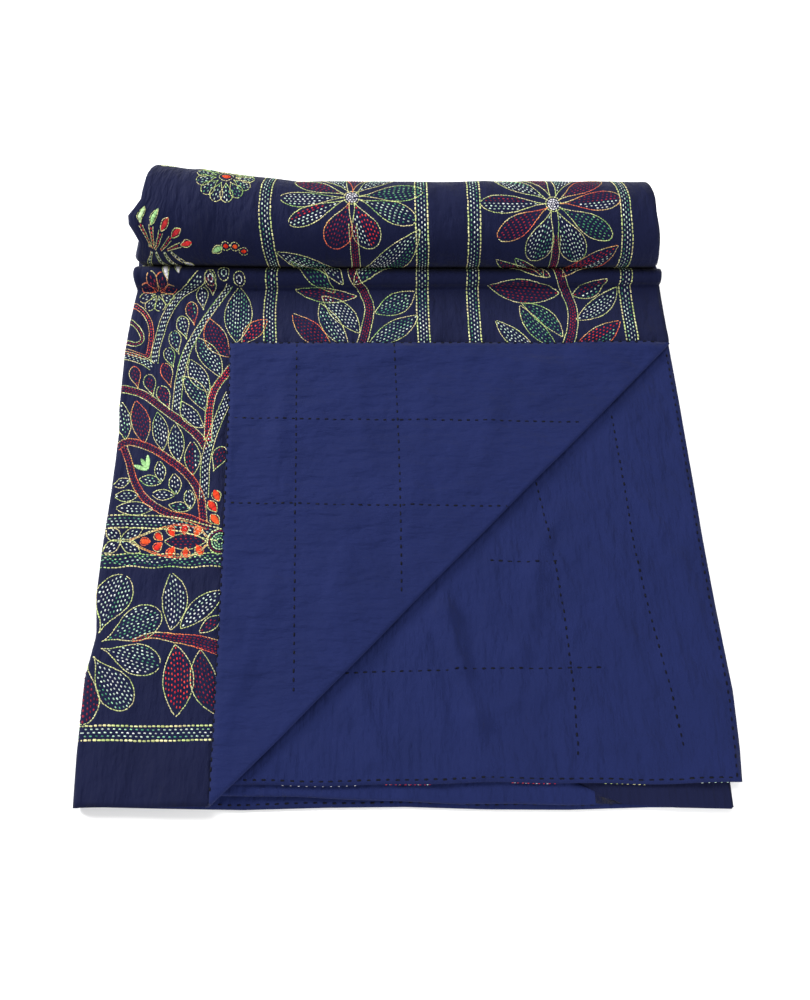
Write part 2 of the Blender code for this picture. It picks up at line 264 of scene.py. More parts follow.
# The swellings of the roll's outer winding: across, half width, first and last degree round, height.
ROLL_SWELLINGS = (
    (0.066, 0.008, 5, 120, 0.0016), (0.045, 0.006, 0, 115, 0.0014), (-0.010, 0.040, 30, 140, 0.0012),
    (0.150, 0.045, 20, 130, 0.0014), (0.235, 0.016, 10, 120, 0.0012), (-0.155, 0.020, 0, 90, 0.0013),
    (-0.210, 0.016, 30, 150, 0.0020), (-0.250, 0.012, -5, 70, 0.0016), (0.100, 0.012, 60, 150, 0.0012),
)
SWELLING_FADE = 25
SWELLINGS_END = (150, 200)
ROLL_UNEVEN = 0.0004
PLY_UNEVEN = 0.0003
HEM_WANDER = (0.0009, 0.0005)
BARE_FROM, BARE_FULL = 0.012, 0.035
TOUCHING = 0.0001


def crease_height(creases, x, y):
    height = 0 * x * y
    for x1, y1, x2, y2, half_width, most in creases:
        run_x, run_y = x2 - x1, y2 - y1
        share = np.clip(((x - x1) * run_x + (y - y1) * run_y) / (run_x ** 2 + run_y ** 2), 0, 1)
        away = np.hypot(x - x1 - share * run_x, y - y1 - share * run_y)
        height = height + most * np.exp(-(away / half_width) ** 2)
    return height


def swelling(x, angle):
    height = ROLL_UNEVEN * (1 + np.sin(31 * x + angle / 23) * np.sin(57 * x - angle / 31))
    for middle, half_width, start, stop, most in ROLL_SWELLINGS:
        round_share = smooth_step(angle, start, start + SWELLING_FADE)
        round_share = round_share * (1 - smooth_step(angle, stop - SWELLING_FADE, stop))
        height = height + most * np.exp(-((x - middle) / half_width) ** 2) * round_share
    return height * smooth_step(angle, -ROLL_START, 0) * (1 - smooth_step(angle, *SWELLINGS_END))


def settle(x, y, z, narrowing, place):
    along, left, rim_left, right, rim_right = narrowing
    x_flat = x
    for edge, start, in_by in ((-WIDTH / 2, FIRST_STATION, left), (-WIDTH / 2, RIM - WIDTH / 2, rim_left),
                               (WIDTH / 2, LAST_STATION, right), (WIDTH / 2, WIDTH / 2 - RIM, rim_right)):
        drawn_in = np.interp(place, along, in_by) * np.maximum(0, (x_flat - start) / (edge - start))
        x = x - math.copysign(1.0, edge) * drawn_in
    swell = THICK_LEFT_END * np.maximum(0, (FIRST_STATION - x) / (FIRST_STATION + WIDTH / 2))
    z = z * (1 + swell * np.clip((y - SWELL_START) / (SWELL_FULL - SWELL_START), 0, 1))
    y = y + swell * np.maximum(0, y - SWELL_FULL)
    return np.stack([x + LEAN * y + pile_x, y + near_hem, z], -1)


def turn_corner(x, y, offset):
    """The top ply's point after its corner is turned back: x, y, height over the ply, share of the turn."""
    beyond = (CORNER - (WIDTH / 2 - x) - y) / math.sqrt(2)
    bend = np.clip(beyond / CORNER_RADIUS, 0, math.pi)
    reach = (CORNER_RADIUS - offset) * np.sin(bend) - np.maximum(0, beyond - math.pi * CORNER_RADIUS)
    reach = np.where(beyond > 0, reach, beyond)
    lift = np.where(beyond > 0, CORNER_RADIUS - (CORNER_RADIUS - offset) * np.cos(bend), offset)
    step = (beyond - reach) / math.sqrt(2)
    return x - step, y + step, lift, bend / math.pi


def margin_depth(x):
    step = 1 - MARGIN_STEP * smooth_step(x, MARGIN_STEP_FROM, MARGIN_STEP_TO)
    ends = smooth_step(x, MARGIN_FROM, MARGIN_FULL) * (1 - smooth_step(x, MARGIN_FULL_TO, MARGIN_TO))
    return MARGIN * step * ends


def turn_margin(x, y, offset):
    """The third ply's point after its near margin is turned back: y and height above the ply."""
    depth = margin_depth(x)
    y = np.where(y < MARGIN, y * depth / MARGIN, y + (depth - MARGIN) * np.clip(2 - y / MARGIN, 0, 1))
    beyond = depth - y
    bend = np.clip(beyond / MARGIN_RADIUS, 0, math.pi)
    turned = np.maximum(0, beyond - math.pi * MARGIN_RADIUS) - (MARGIN_RADIUS - offset) * np.sin(bend)
    laid_back = y - depth * (1 - y / LAID)
    fold_y = depth * depth / LAID
    lift = np.where(beyond > 0, MARGIN_RADIUS - (MARGIN_RADIUS - offset) * np.cos(bend), offset)
    return np.where(beyond > 0, fold_y + turned, laid_back), lift


def columns():
    """The columns of points across the width: run, x (or None on a fold) and the share of the fold."""
    made = []
    for run, steps in enumerate(RUN_STEPS):
        length = (OPEN_RUN, RUN, RUN, OPEN_RUN)[run]
        xs = [LEFT_CENTRE + length * step / steps for step in range(steps + 1)]
        made += [(run, x, 0.0) for x in (xs if run % 2 else xs[::-1])]
        if run < 3:
            made += [(run, None, step / FOLD_STEPS) for step in range(1, FOLD_STEPS)]
    return made


def across(column, offset):
    run, x, share = column
    if x is not None:
        return x, LEVEL[run] + offset * (-1 if run % 2 else 1)
    side = math.copysign(1.0, TURN[run])
    now = math.radians((0 if run % 2 else 180) + TURN[run] * share)
    radius = TURN_RADIUS[run] + side * offset
    centre_x = RIGHT_CENTRE if run % 2 else LEFT_CENTRE
    centre_z = (LEVEL[run] + LEVEL[run + 1]) / 2
    return centre_x + side * radius * math.sin(now), centre_z - side * radius * math.cos(now)


def hem_behind(column):
    run, x, share = column
    if x is None:
        return HEM_END[run] + share * (HEM_START[run + 1] - HEM_END[run])
    passed = np.maximum(0.0, (x - LEFT_CENTRE) / RUN)
    passed = passed if run % 2 else 1 - passed
    return HEM_START[run] + passed * (HEM_END[run] - HEM_START[run])


def lay_down(column, y, offset):
    """Points of one column of the laid part."""
    run, x, _ = column
    if run == 0 and x is not None:
        x, y, lift, turned = turn_corner(x + 0 * y, y, offset)
        z = LEVEL[0] + lift + turned * crease_height(CORNER_CREASES, x, y)
    else:
        x_now, z = across(column, offset)
        z = z + 0 * y
        if run == 2 and x is not None:
            y, lift = turn_margin(x_now, y, offset)
            z = LEVEL[2] + lift
        y = y + hem_behind(column) * (1 - y / LAID)
        if run == 3 and x is not None:
            at_edge = np.maximum(0, x - LAST_STATION) / (WIDTH / 2 - LAST_STATION)
            x_now = x + np.interp(y, OVERHANG_ALONG, OVERHANG) * at_edge
            bare = smooth_step(CORNER - (WIDTH / 2 - x) - y, BARE_FROM, BARE_FULL)
            z = z + bare * crease_height(BARE_CREASES, x, y)
        x = x_now + 0 * y
    uneven = PLY_UNEVEN * np.sin(34 * x + 21 * y) * np.sin(43 * y - 17 * x)
    uneven = crease_height(PILE_CREASES, x, y) + uneven
    above_margin = z > LEVEL[3] - QUILT / 2 - TOUCHING
    on_margin = margin_depth(x) / MARGIN * (1 - smooth_step(y, MARGIN_FADE, 2 * MARGIN_FADE))
    z = z * (1 + uneven / PILE) + np.where(above_margin & (run in (0, 3)), PITCH * on_margin, 0)
    wander = HEM_WANDER[0] * np.sin(23 * x + 2 * run) + HEM_WANDER[1] * np.sin(64 * x + run)
    return settle(x, y + wander * (1 - y / LAID), z, LAID_NARROWING, y)


def roll_up(column, offset):
    """Points of one column on the hump, in the valley and on the roll."""
    x, height = across(column, offset)
    y, z, climb, angle = underside(min(1.0, max(0.0, (x - LEFT_CENTRE) / RUN))).T
    height = height + swelling(x, angle)
    y = y - height * np.sin(np.radians(climb))
    z = z + height * np.cos(np.radians(climb))
    return settle(x + 0 * y, y, z, ROLL_NARROWING, angle)


def flat_step(column, following):
    """The cloth's width between two neighbouring columns: along a ply, or a share of a fold."""
    on_one_ply = column[1] is not None and following[1] is not None and column[0] == following[0]
    return abs(following[1] - column[1]) if on_one_ply else math.pi * PITCH / FOLD_STEPS


all_columns = columns()
flat_across = np.cumsum([0.0] + [flat_step(a, b) for a, b in zip(all_columns, all_columns[1:])])


def surface(offset, some_columns):
    """One side of a cloth as a grid of points, columns by rows."""
    lines = [np.concatenate([lay_down(c, LAID_ROWS, offset), roll_up(c, offset)]) for c in some_columns]
    return np.array(lines)


middle_column = RUN_STEPS[0] // 2
middle_line = surface(SEAM + CLOTH, all_columns[middle_column:middle_column + 1])[0]
steps_up = np.linalg.norm(np.diff(middle_line, axis=0), axis=1)
flat_up = np.concatenate([LAID_ROWS, LAID_ROWS[-1] + np.cumsum(steps_up[len(LAID_ROWS) - 1:])])


def flat_pattern():
    """The quilt laid flat as vertices and faces, cut along the lines of the corner's turn."""
    count, rows = len(all_columns), len(flat_up)
    index = np.arange(count * rows).reshape(count, rows)
    spots = np.stack(np.meshgrid(flat_across, flat_up, indexing="ij"), -1).reshape(-1, 2)
    quads = np.stack([index[:-1, :-1], index[:-1, 1:], index[1:, 1:], index[1:, :-1]], -1).reshape(-1, 4)
    shape = bpy.data.meshes.new("flat_pattern")
    shape.from_pydata([(a, b, 0.0) for a, b in spots], [], quads.tolist())
    flat = bmesh.new()
    flat.from_mesh(shape)
    for step in range(FOLD_STEPS + 1):
        reach = CORNER - math.sqrt(2) * math.pi * CORNER_RADIUS * step / FOLD_STEPS
        near = [f for f in flat.faces if max(v.co.x for v in f.verts) < OPEN_RUN and
                min(v.co.x + v.co.y for v in f.verts) < reach < max(v.co.x + v.co.y for v in f.verts)]
        parts = set(near) | {e for f in near for e in f.edges} | {v for f in near for v in f.verts}
        bmesh.ops.bisect_plane(flat, geom=list(parts), dist=1e-6, plane_co=(reach, 0, 0), plane_no=(1, 1, 0))
    flat.verts.index_update()
    spots = np.array([v.co[:2] for v in flat.verts])
    faces = [[v.index for v in f.verts] for f in flat.faces]
    rim = [(loop.vert.index, loop.link_loop_next.vert.index)
           for f in flat.faces for loop in f.loops if len(loop.edge.link_faces) == 1]
    flat.free()
    bpy.data.meshes.remove(shape)
    return spots, faces, rim


flat_spots, flat_faces, flat_rim = flat_pattern()


def side_of_cloth(offset):
    grid = surface(offset, all_columns).reshape(-1, 3)
    extra = flat_spots[len(grid):]
    return np.concatenate([grid, lay_down((0, WIDTH / 2 - extra[:, 0], 0.0), extra[:, 1], offset)])


def cloth(name, inner):
    """One cloth as a closed thin sheet between two offsets from the quilt's middle."""
    low, high = side_of_cloth(inner), side_of_cloth(inner + CLOTH)
    count = len(low)
    faces = [face[::-1] for face in flat_faces] + [[i + count for i in face] for face in flat_faces]
    faces += [[a, b, b + count, a + count] for a, b in flat_rim]
    mesh = bpy.data.meshes.new(name)
    mesh.from_pydata(np.concatenate([low, high]).tolist(), [], faces)
    mesh.validate()
    flat_map = mesh.uv_layers.new(name="cloth_metres")
    corners = np.zeros(len(mesh.loops), dtype=np.int32)
    mesh.loops.foreach_get("vertex_index", corners)
    flat_map.data.foreach_set("uv", flat_spots[corners % count].astype(np.float32).ravel())
    piece = bpy.data.objects.new(name, mesh)
    bpy.context.scene.collection.objects.link(piece)
    mesh.shade_smooth()
    return piece


def cotton(slot, colour, faded):
    """Plain woven cotton: uneven dye, soft crumpling and the weave, over the cloth's own metres."""
    material = bpy.data.materials.new(slot)
    material.use_nodes = True
    nodes, links = material.node_tree.nodes, material.node_tree.links
    shader = nodes["Principled BSDF"]
    shader.inputs["Roughness"].default_value = 0.85
    shader.inputs["Specular IOR Level"].default_value = 0.12
    shader.inputs["Sheen Weight"].default_value = 0.03
    shader.inputs["Sheen Roughness"].default_value = 0.5
    metres = nodes.new("ShaderNodeUVMap")
    metres.uv_map = "cloth_metres"
    dye = nodes.new("ShaderNodeTexNoise")
    dye.inputs["Scale"].default_value = 22.0
    dye.inputs["Detail"].default_value = 6.0
    blend = nodes.new("ShaderNodeMix")
    blend.data_type = "RGBA"
    blend.inputs["A"].default_value = (*colour, 1)
    blend.inputs["B"].default_value = (*faded, 1)
    links.new(metres.outputs["UV"], dye.inputs["Vector"])
    links.new(dye.outputs["Fac"], blend.inputs["Factor"])
    links.new(blend.outputs["Result"], shader.inputs["Base Color"])
    last = None
    for scale, stretch, distance, wrinkled in (
        (9.0, (1.4, 1, 1), 0.012, False), (13.0, (1.5, 0.9, 1), 0.008, True), (27.0, (1, 1, 1), 0.003, True),
        (40.0, (3, 0.8, 1), 0.0035, False), (900.0, (1, 1, 1), 0.0003, False),
    ):
        spread = nodes.new("ShaderNodeMapping")
        spread.inputs["Scale"].default_value = stretch
        grain = nodes.new("ShaderNodeTexNoise")
        grain.inputs["Scale"].default_value = scale
        grain.inputs["Detail"].default_value = 4.0
        bump = nodes.new("ShaderNodeBump")
        bump.inputs["Distance"].default_value = distance
        links.new(metres.outputs["UV"], spread.inputs["Vector"])
        links.new(spread.outputs["Vector"], grain.inputs["Vector"])
        height = grain.outputs["Fac"]
        for operation in ("SUBTRACT", "ABSOLUTE") if wrinkled else ():
            ridge = nodes.new("ShaderNodeMath")
            ridge.operation = operation
            links.new(height, ridge.inputs[0])
            height = ridge.outputs[0]
        links.new(height, bump.inputs["Height"])
        if last:
            links.new(last.outputs["Normal"], bump.inputs["Normal"])
        last = bump
    links.new(last.outputs["Normal"], shader.inputs["Normal"])
    return material


navy_cloth = cloth("navy_cloth", SEAM)
blue_cloth = cloth("blue_cloth", -SEAM - CLOTH)
for piece, node, slot, colour, faded in (
    (navy_cloth, "embroidered_face", "navy_cotton", (0.0022, 0.0038, 0.022), (0.0042, 0.0063, 0.032)),
    (blue_cloth, "plain_backing", "royal_blue_cotton", (0.0044, 0.0088, 0.049), (0.0075, 0.0132, 0.070)),
):
    piece.data.materials.append(cotton(slot, colour, faded))
    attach(piece, "root")
    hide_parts(node)

# The framing bands are worked in running stitch in cotton thread: two bold lines with staggered rows of
# small white and green stitches between. They run the quilt's length, and two of them cross it near the
# hem. Every line below is charted in millimetres, across from the quilt's middle and up from its near hem.
THREADS = {
    "cream": ((205, 205, 150), (172, 190, 120), (210, 200, 150), (190, 200, 130)),
    "meadow": ((200, 205, 140), (140, 180, 105), (190, 200, 130), (205, 195, 145)),
    "sunset": ((205, 200, 145), (215, 160, 95), (225, 115, 75), (205, 90, 70), (210, 165, 110)),
    "white": ((190, 205, 195), (208, 212, 208), (172, 202, 180)),
    "mint": ((170, 200, 180), (60, 125, 95), (140, 190, 150), (200, 215, 200)),
    "green": ((55, 115, 85), (75, 140, 100), (120, 170, 125), (60, 120, 90)),
    "lime": ((160, 205, 140), (188, 215, 165), (140, 188, 125)),
    "maroon": ((122, 26, 48), (98, 20, 42), (142, 34, 50)),
    "red": ((200, 42, 52), (168, 34, 50), (205, 70, 60)),
    "silver": ((190, 190, 200), (214, 212, 216)),
    "flame": ((214, 60, 30), (190, 38, 34), (216, 88, 44)),
    "night": ((5, 6, 26), (3, 4, 18)),
}
COLOUR_RUN = 70.0
STITCH_HEIGHT = 0.45
ROW, STEM_ROW, STAGGER = 2.8, 2.3, 2.5
VISIBLE_TO = 810
# The hump takes up some cloth that the chart leaves out, so what lies past it is sewn further up.
SLACK, SLACK_FROM, SLACK_TO = 18.0, 500.0, 590.0
BAND_HALF = 6.2
dice = np.random.default_rng(7)
turned_away = 1000 * CORNER + 1
under_corner = 1000 * CORNER - 12


def thread_colour(thread, along):
    shades = np.array(THREADS[thread]) / 255
    turn = (along / COLOUR_RUN + dice.random()) % 1 * len(shades)
    first = turn.astype(int) % len(shades)
    mix = smooth_step(turn - first, 0, 1)[:, None]
    shade = shades[first] * (1 - mix) + shades[(first + 1) % len(shades)] * mix
    return np.clip(shade * dice.uniform(0.8, 1.12, (len(along), 1)), 0, 1) ** 2.2


def stitch_line(work, path, thread, length=3.0, gap=-0.2, width=0.95, start=0.0):
    """Running stitches along a line: place, heading, length, width and colour of each."""
    path = np.asarray(path, float)
    reach = np.concatenate([[0], np.cumsum(np.hypot(*np.diff(path, axis=0).T))])
    centres = np.arange(start + length / 2, reach[-1] - length / 3, length + gap)
    if len(centres) == 0:
        return
    spots, ahead, behind = (np.stack([np.interp(centres + s, reach, path[:, k]) for k in (0, 1)], -1)
                            for s in (0, length / 2, -length / 2))
    heading = ahead - behind + 1e-6
    heading /= np.hypot(*heading.T)[:, None]
    spots = spots + dice.normal(0, 0.13, spots.shape)
    lengths = length * dice.uniform(0.85, 1.12, len(spots))
    widths = width * dice.uniform(0.85, 1.15, len(spots))
    sizes = np.stack([lengths, widths], -1)
    work.append(np.concatenate([spots, heading, sizes, thread_colour(thread, centres)], 1))


def seed_line(work, path, thread, start=0.0, gap=2.4):
    """The short, well spaced stitches that fill a motif."""
    stitch_line(work, path, thread, length=2.5, gap=gap, width=1.25, start=start)


def on_face(points, lift):
    """Places on the embroidered face for charted millimetres, each lifted off the cloth."""
    a = WIDTH / 2 - points[:, 0] / 1000
    up = (points[:, 1] + SLACK * smooth_step(points[:, 1], SLACK_FROM, SLACK_TO)) / 1000
    i = np.clip(np.searchsorted(face_across, a) - 1, 0, len(face_across) - 2)
    j = np.clip(np.searchsorted(flat_up, up) - 1, 0, len(flat_up) - 2)
    s = ((a - face_across[i]) / (face_across[i + 1] - face_across[i]))[:, None]
    t = ((up - flat_up[j]) / (flat_up[j + 1] - flat_up[j]))[:, None]

    def between(grid):
        near = grid[i, j] * (1 - s) + grid[i + 1, j] * s
        far = grid[i, j + 1] * (1 - s) + grid[i + 1, j + 1] * s
        return near * (1 - t) + far * t

    low, high = between(face_grid), between(face_grid_above)
    return low + (high - low) * lift[:, None]


def shown_on_face(work):
    rows = np.concatenate(work)
    a, up = 1000 * WIDTH / 2 - rows[:, 0], rows[:, 1]
    hidden = (a + up < turned_away) | ((a < under_corner) & (up < under_corner)) | (up > VISIBLE_TO)
    return rows[~hidden & (a > 1) & (a < 1000 * face_across[-2])]


def sew(name, rows, place):
    """One piece of thread work: every stitch a tapered grain that lies on the cloth, with its own colour."""
    spot, heading, colour = rows[:, 0:2], rows[:, 2:4], rows[:, 6:9]
    length, width = rows[:, 4:5], rows[:, 5:6]
    side = np.stack([-heading[:, 1], heading[:, 0]], -1)
    corners = []
    for along, out, lift in ((-0.5, 0, -0.1), (-0.3, 0.5, 0), (-0.3, 0, 1), (-0.3, -0.5, 0),
                             (0.3, 0.5, 0), (0.3, 0, 1), (0.3, -0.5, 0), (0.5, 0, -0.1)):
        points = spot + heading * length * along + side * width * out
        corners.append(place(points, np.full(len(points), lift * STITCH_HEIGHT)))
    faces = np.array(((0, 2, 1), (0, 3, 2), (0, 1, 3), (1, 2, 5), (1, 5, 4), (2, 3, 6), (2, 6, 5),
                      (3, 1, 4), (3, 4, 6), (7, 4, 5), (7, 5, 6), (7, 6, 4)))
    firsts = np.arange(len(rows))[:, None, None] * 8
    mesh = bpy.data.meshes.new(name)
    all_faces = (faces[None] + firsts).reshape(-1, 3)
    mesh.from_pydata(np.stack(corners, 1).reshape(-1, 3).tolist(), [], all_faces.tolist())
    dyes = mesh.color_attributes.new(name="thread_colour", type="FLOAT_COLOR", domain="POINT")
    shades = np.repeat(np.concatenate([colour, np.ones((len(rows), 1))], 1), 8, axis=0)
    dyes.data.foreach_set("color", shades.astype(np.float32).ravel())
    mesh.shade_smooth()
    mesh.materials.append(thread_material)
    piece = bpy.data.objects.new(name, mesh)
    bpy.context.scene.collection.objects.link(piece)
    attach(piece, "root")
    return piece


def curve(points):
    """A smooth line through a few given points."""
    p = np.array(points, float)
    p = np.concatenate([[2 * p[0] - p[1]], p, [2 * p[-1] - p[-2]]])
    t = np.linspace(0, 1, 10, endpoint=False)[:, None]
    parts = []
    for a, b, c, d in zip(p, p[1:], p[2:], p[3:]):
        bend, twist = 2 * a - 5 * b + 4 * c - d, 3 * b - a - 3 * c + d
        parts.append(0.5 * (2 * b + (c - a) * t + bend * t ** 2 + twist * t ** 3))
    return np.concatenate(parts + [p[-2:-1]])


def beside(line, away):
    """A line beside another one, some way off to its left."""
    heading = np.gradient(line, axis=0)
    heading /= np.hypot(*heading.T)[:, None] + 1e-9
    return line + np.stack([-heading[:, 1], heading[:, 0]], -1) * np.reshape(away, (-1, 1))


def band(work, points, wave=0.0, bold=1.5):
    rough = curve(points)
    reach = np.concatenate([[0], np.cumsum(np.hypot(*np.diff(rough, axis=0).T))])
    places = np.arange(0, reach[-1], 2.0)
    line = np.stack([np.interp(places, reach, rough[:, k]) for k in (0, 1)], -1)
    line = beside(line, wave * np.sin(places / 21))
    for edge in (-BAND_HALF, BAND_HALF):
        stitch_line(work, beside(line, edge + dice.normal(0, 0.3)), "cream", length=3.6, gap=0.3, width=bold)
    for row, thread in ((-1, "mint"), (0, "white"), (1, "mint")):
        seed_line(work, beside(line, row * 3.0), thread, start=2.4 * (row % 2))


face_columns = all_columns[:RUN_STEPS[0] + FOLD_STEPS + 3]
face_across = flat_across[:len(face_columns)]
face_grid = surface(SEAM + CLOTH, face_columns)
face_grid_above = surface(SEAM + CLOTH + 0.001, face_columns)

thread_material = bpy.data.materials.new("embroidery_thread")
thread_material.use_nodes = True
thread_shader = thread_material.node_tree.nodes["Principled BSDF"]
thread_shader.inputs["Roughness"].default_value = 0.6
thread_shader.inputs["Specular IOR Level"].default_value = 0.15
thread_dye = thread_material.node_tree.nodes.new("ShaderNodeAttribute")
thread_dye.attribute_name = "thread_colour"
thread_material.node_tree.links.new(thread_dye.outputs["Color"], thread_shader.inputs["Base Color"])

bands = []
for middle, wave in ((249, 0.4), (86, 0.4), (33, 0.4), (-127, 2.0)):
    band(bands, ((middle, 200), (middle, 500), (middle, VISIBLE_TO)), wave)
band(bands, ((-168, 62.5), (-230, 62.5), (-300, 62.5)), 0.3, bold=1.8)
band(bands, ((-172, 247), (-181, 249), (-213, 258), (-250, 260), (-292, 260)), 0.4)
sew("band_threads", shown_on_face(bands), on_face)

# The right vine: a maroon stem with paired leaves under a large flower that lies on the roll, each petal
# and leaf outlined in one line of thread and filled with rows of short stitches that follow its length.


def leaf(work, base, tip, half_width, fill, edge="cream", bend=0.0, widest=0.5, ends=(0.8, 0.9)):
    """An outline of two bowed sides and filling rows; fill names one thread, or two for the two halves."""
    base, tip = np.array(base, float), np.array(tip, float)
    share = np.linspace(0, 1, 41)
    axis = tip - base
    side = np.array([-axis[1], axis[0]]) / np.hypot(*axis)
    spine = base + np.outer(share, axis) + np.outer(4 * bend * share * (1 - share), side)
    round_share = np.sin(math.pi * share ** (math.log(0.5) / math.log(widest)))
    spread = half_width * np.clip(round_share, 0, 1) ** (ends[0] + (ends[1] - ends[0]) * share)
    for hand in (-1, 1):
        stitch_line(work, beside(spine, hand * spread), edge)
    if not fill:
        return
    fill = (fill,) if isinstance(fill, str) else fill
    count = int((half_width - 1.4) / ROW)
    for row in range(-count, count + 1):
        inside = spread > abs(row) * ROW + 1.5
        if inside.sum() > 3:
            thread = fill[0] if len(fill) == 1 or row < 0 else fill[1]
            line = beside(spine[inside], np.full(inside.sum(), row * ROW))
            seed_line(work, line, thread, start=STAGGER * (row % 2))


def petal(work, base, tip, half_width, fill, edge="cream", bend=0.0):
    leaf(work, base, tip, half_width, fill, edge, bend, widest=0.66, ends=(1.0, 0.5))


def stem(work, points, half_widths, fill="maroon", edge="cream"):
    middle = curve(points)
    half = np.linspace(half_widths[0], half_widths[1], len(middle))
    for hand in (-1, 1):
        stitch_line(work, beside(middle, hand * half), edge)
    count = int((half.max() - 1.2) / STEM_ROW)
    gap = 1.1 if fill in ("maroon", "red") else 2.6
    for row in range(-count, count + 1):
        inside = half > abs(row) * STEM_ROW + 0.6
        if inside.sum() > 3:
            line = beside(middle[inside], np.full(inside.sum(), row * STEM_ROW))
            seed_line(work, line, fill, start=2.4 * (row % 2), gap=gap)


def ring(work, centre, radius, thread, width=0.95):
    turn = np.linspace(0, 2 * math.pi, 25)
    line = np.array(centre, float) + radius * np.stack([np.cos(turn), np.sin(turn)], -1)
    stitch_line(work, line, thread, length=min(2.7, radius), gap=0.3, width=width)


def satin(work, base, tip, half_width, thread, edge=None, widest=0.56):
    """Solid filling: threads laid side by side across the motif, closed by an outline."""
    base, tip = np.array(base, float), np.array(tip, float)
    long = np.hypot(*(tip - base))
    share = np.arange(0.4, long, 0.75) / long
    side = np.array([base[1] - tip[1], tip[0] - base[0]]) / long
    spots = base + np.outer(share, tip - base)
    bulge = np.sin(math.pi * share ** (math.log(0.5) / math.log(widest))).clip(0)
    spread = half_width * bulge ** 0.7 * 2 + 0.8
    rows = np.stack([spread, np.full(len(share), 1.1)], -1)
    shades = thread_colour(thread, share * long)
    work.append(np.concatenate([spots, np.tile(side, (len(share), 1)), rows, shades], 1))
    if edge:
        leaf(work, base - 0.06 * (tip - base), tip, half_width + 1.2, None, edge, widest=widest)


def bloom(work, centre, petals):
    """A large flower: petals that start a little way out from its middle, and a heart of small rings."""
    for tip, half_width, fill, edge in petals:
        petal(work, centre + 0.09 * (np.array(tip) - centre), tip, half_width, fill, edge)
    for radius in (1.2, 3.2, 5.4):
        ring(work, centre, radius, "silver", width=1.3)
    ring(work, centre, 8.0, "cream")


def rosette(work, centre, inner, outer, half_width, looks, first=0.0):
    """Petals set evenly round a centre, each with its own fill and edge."""
    for step, (fill, edge) in enumerate(looks):
        turn = 2 * math.pi * step / len(looks) + first
        out = np.array((math.cos(turn), math.sin(turn)))
        petal(work, centre + inner * out, centre + outer * out, half_width, fill, edge)


right_vine = []
stem(right_vine, ((172, 600), (173, 568), (176, 540), (183, 520), (190, 497), (188, 472), (180, 448)),
     (4.0, 5.6))
bloom(right_vine, (169, 631), (
    ((92, 632), 10, ("maroon", "white"), "cream"), ((110, 597), 11, "maroon", "sunset"),
    ((148, 571), 14, ("white", "mint"), "cream"), ((199, 571), 14, ("mint", "white"), "meadow"),
    ((231, 598), 11, "green", "meadow"), ((244, 638), 11, ("white", "maroon"), "sunset"),
    ((229, 674), 11, "maroon", "sunset"), ((196, 702), 12, ("white", "mint"), "cream"),
    ((148, 704), 12, "maroon", "cream"), ((111, 673), 11, ("mint", "white"), "cream"),
))
for base, tip, half_width, bend, fill, edge in (
    ((181, 530), (239, 590), 13, 2, ("white", "red"), "sunset"),
    ((168, 530), (110, 573), 10, 3, "maroon", "cream"),
    ((160, 530), (130, 574), 8, -3, ("maroon", "mint"), "meadow"),
    ((178, 513), (102, 521), 13, 2, "maroon", "cream"),
    ((192, 511), (229, 528), 8, -3, ("mint", "maroon"), "cream"),
    ((193, 482), (241, 518), 10, -3, "white", "cream"), ((177, 462), (137, 502), 9, -5, "green", "meadow"),
    ((170, 450), (135, 500), 9, 4, "green", "meadow"), ((150, 442), (108, 481), 9, 2, "white", "cream"),
    ((186, 446), (239, 481), 11, -3, ("mint", "red"), "sunset"),
    ((152, 800), (110, 748), 12, 3, "white", "cream"), ((176, 800), (232, 752), 12, -3, "maroon", "sunset"),
):
    leaf(right_vine, base, tip, half_width, fill, edge, bend)
sew("right_vine_threads", shown_on_face(right_vine), on_face)

# The left vine is the same plant between its own two bands, with two-coloured petals and narrower leaves.
left_vine = []
stem(left_vine, ((-37, 612), (-36, 587), (-36, 560), (-40, 536), (-29, 515), (-23, 495), (-28, 466),
                 (-33, 448)), (4.0, 5.2))
bloom(left_vine, (-37, 639), (
    ((-59, 586), 14, "maroon", "sunset"), ((-17, 586), 14, ("white", "red"), "cream"),
    ((27, 614), 11, "mint", "meadow"), ((35, 648), 11, "green", "meadow"),
    ((4, 684), 11, ("white", "mint"), "cream"), ((-28, 708), 12, "maroon", "sunset"),
    ((-66, 700), 12, ("mint", "white"), "cream"), ((-96, 668), 10, "maroon", "cream"),
    ((-112, 637), 9, "white", "meadow"), ((-102, 611), 9, ("red", "white"), "cream"),
))
for base, tip, half_width, bend, fill, edge in (
    ((-50, 524), (-118, 581), 13, -6, ("mint", "white"), "cream"),
    ((-59, 514), (-104, 570), 10, 3, "green", "meadow"),
    ((-39, 524), (31, 606), 16, -2, ("green", "white"), "cream"),
    ((-36, 510), (-102, 518), 8, 3, "maroon", "meadow"), ((-17, 490), (25, 515), 12, -2, "mint", "meadow"),
    ((-34, 466), (-73, 510), 11, -3, "white", "cream"),
    ((-45, 450), (-75, 503), 10, 3, ("white", "mint"), "cream"),
    ((-62, 448), (-104, 490), 11, 2, "maroon", "sunset"), ((-24, 454), (28, 488), 11, -2, "mint", "meadow"),
    ((-54, 800), (-98, 750), 12, 3, "maroon", "sunset"), ((-22, 800), (22, 750), 12, -3, "white", "cream"),
):
    leaf(left_vine, base, tip, half_width, fill, edge, bend)
sew("left_vine_threads", shown_on_face(left_vine), on_face)

